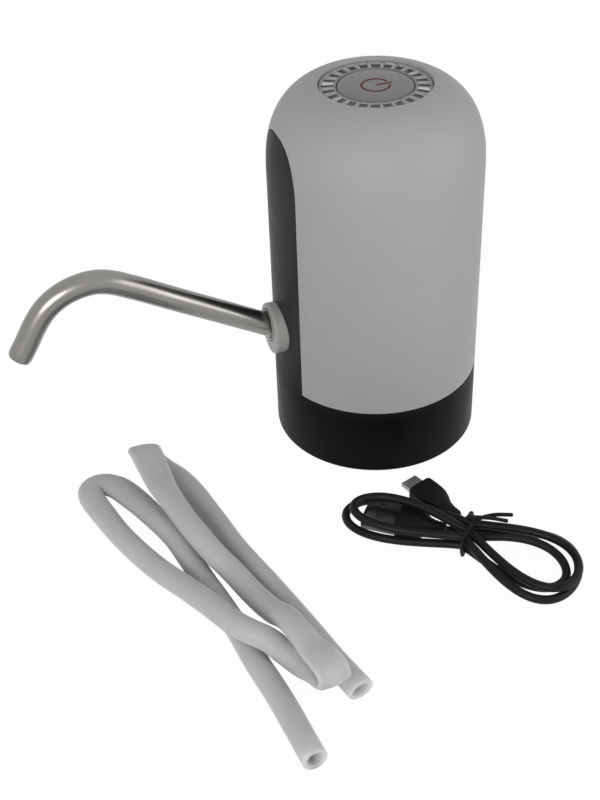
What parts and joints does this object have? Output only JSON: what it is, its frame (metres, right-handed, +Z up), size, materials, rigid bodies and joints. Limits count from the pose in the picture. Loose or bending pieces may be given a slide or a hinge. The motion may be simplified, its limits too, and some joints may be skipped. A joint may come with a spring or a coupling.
{
  "type": "bottled water pump",
  "caption": "Domed rechargeable pump for a large water bottle's neck, with a bent steel spout, a folded suction hose and a tied charging lead.",
  "frame": {"origin": "on the floor, under the middle of the pump's own box from the spout's tip to the body's back", "axes": "+Z up along the body's axis, -X out along the spout, Y across the body"},
  "size_m": [0.1709, 0.1914, 0.1366],
  "materials": {
    "shell_grey": "satin",
    "cap_grey": "gloss",
    "black_housing": "satin",
    "dark_plastic": "satin",
    "white_plastic": "satin",
    "light_plastic": "satin",
    "clear_plastic": "clear gloss",
    "clear_rubber": "translucent satin",
    "grey_rubber": "matte",
    "black_rubber": "satin",
    "polished_steel": "polished",
    "plain_steel": "satin",
    "magnet_dark": "matte",
    "winding_copper": "satin",
    "board_green": "satin",
    "led_yellow": "gloss",
    "cell_blue": "satin wrap"
  },
  "bodies": {
    "pump_unit": {"outer_shell": "shell_grey", "base_housing": "black_housing", "button_ring": "clear_plastic", "spout_collar": "light_plastic", "suction_hose": "clear_rubber", "charging_cable": "black_rubber", "usb_a_grip": "black_rubber", "usb_a_shell": "plain_steel", "usb_a_tongue": "white_plastic", "micro_usb_grip": "black_rubber", "micro_usb_shell": "plain_steel", "twist_tie": "black_housing", "hose_nozzle": "black_housing", "nozzle_nut": "plain_steel", "inlet_tube": "clear_rubber", "outlet_tube": "clear_rubber", "pump_body": "dark_plastic", "pump_cover": "dark_plastic", "idler_pin": "plain_steel", "shaft_seal": "black_rubber", "motor_can": "plain_steel", "motor_end_cap": "black_housing", "motor_magnet_1": "magnet_dark", "motor_magnet_2": "magnet_dark", "battery_cell": "cell_blue", "battery_cradle": "black_housing", "circuit_board": "board_green", "tact_switch": "dark_plastic", "status_led_1": "led_yellow", "status_led_2": "led_yellow", "charge_board": "board_green", "usb_port": "plain_steel", "cover_screw_1": "plain_steel", "cover_screw_2": "plain_steel", "cover_screw_3": "plain_steel", "cover_screw_4": "plain_steel", "mount_screw_1": "plain_steel", "mount_screw_2": "plain_steel", "board_screw_1": "plain_steel", "board_screw_2": "plain_steel", "board_screw_3": "plain_steel", "charge_screw_1": "plain_steel", "charge_screw_2": "plain_steel", "shell_screw_1": "plain_steel", "shell_screw_2": "plain_steel", "shell_screw_3": "plain_steel", "cradle_screw": "plain_steel"},
    "button": {"button_cap": "cap_grey", "switch_plunger": "white_plastic"},
    "spout_seat": {"spout_sleeve": "grey_rubber"},
    "spout": {"spout_tube": "polished_steel"},
    "rotor": {"motor_rotor": "winding_copper", "motor_shaft": "plain_steel", "drive_gear": "white_plastic"},
    "idler": {"driven_gear": "white_plastic"}
  },
  "joints": [
    {"name": "button_press", "type": "slide", "parent": "pump_unit", "child": "button", "axis": [0, 0, -1], "range_m": [0, 0.0008], "stiffness_N_per_m": 1500},
    {"name": "spout_pull", "type": "slide", "parent": "pump_unit", "child": "spout_seat", "axis": [-0.8695, 0, 0.4939], "range_m": [0, 0.012]},
    {"name": "spout_swivel", "type": "hinge", "parent": "spout_seat", "child": "spout", "pos_m": [0.0079, 0, 0.0491], "axis": [-0.8695, 0, 0.4939], "range_deg": [-90, 90]},
    {"name": "pump_drive", "type": "hinge", "parent": "pump_unit", "child": "rotor", "pos_m": [0.0425, -0.0045, 0.06], "axis": [0, 0, 1], "continuous": true},
    {"name": "idler_spin", "type": "hinge", "parent": "pump_unit", "child": "idler", "pos_m": [0.0533, -0.0045, 0.047], "axis": [0, 0, 1], "continuous": true}
  ],
  "couplings": [
    {"joint": "idler_spin", "follows": "pump_drive", "ratio": -1}
  ]
}
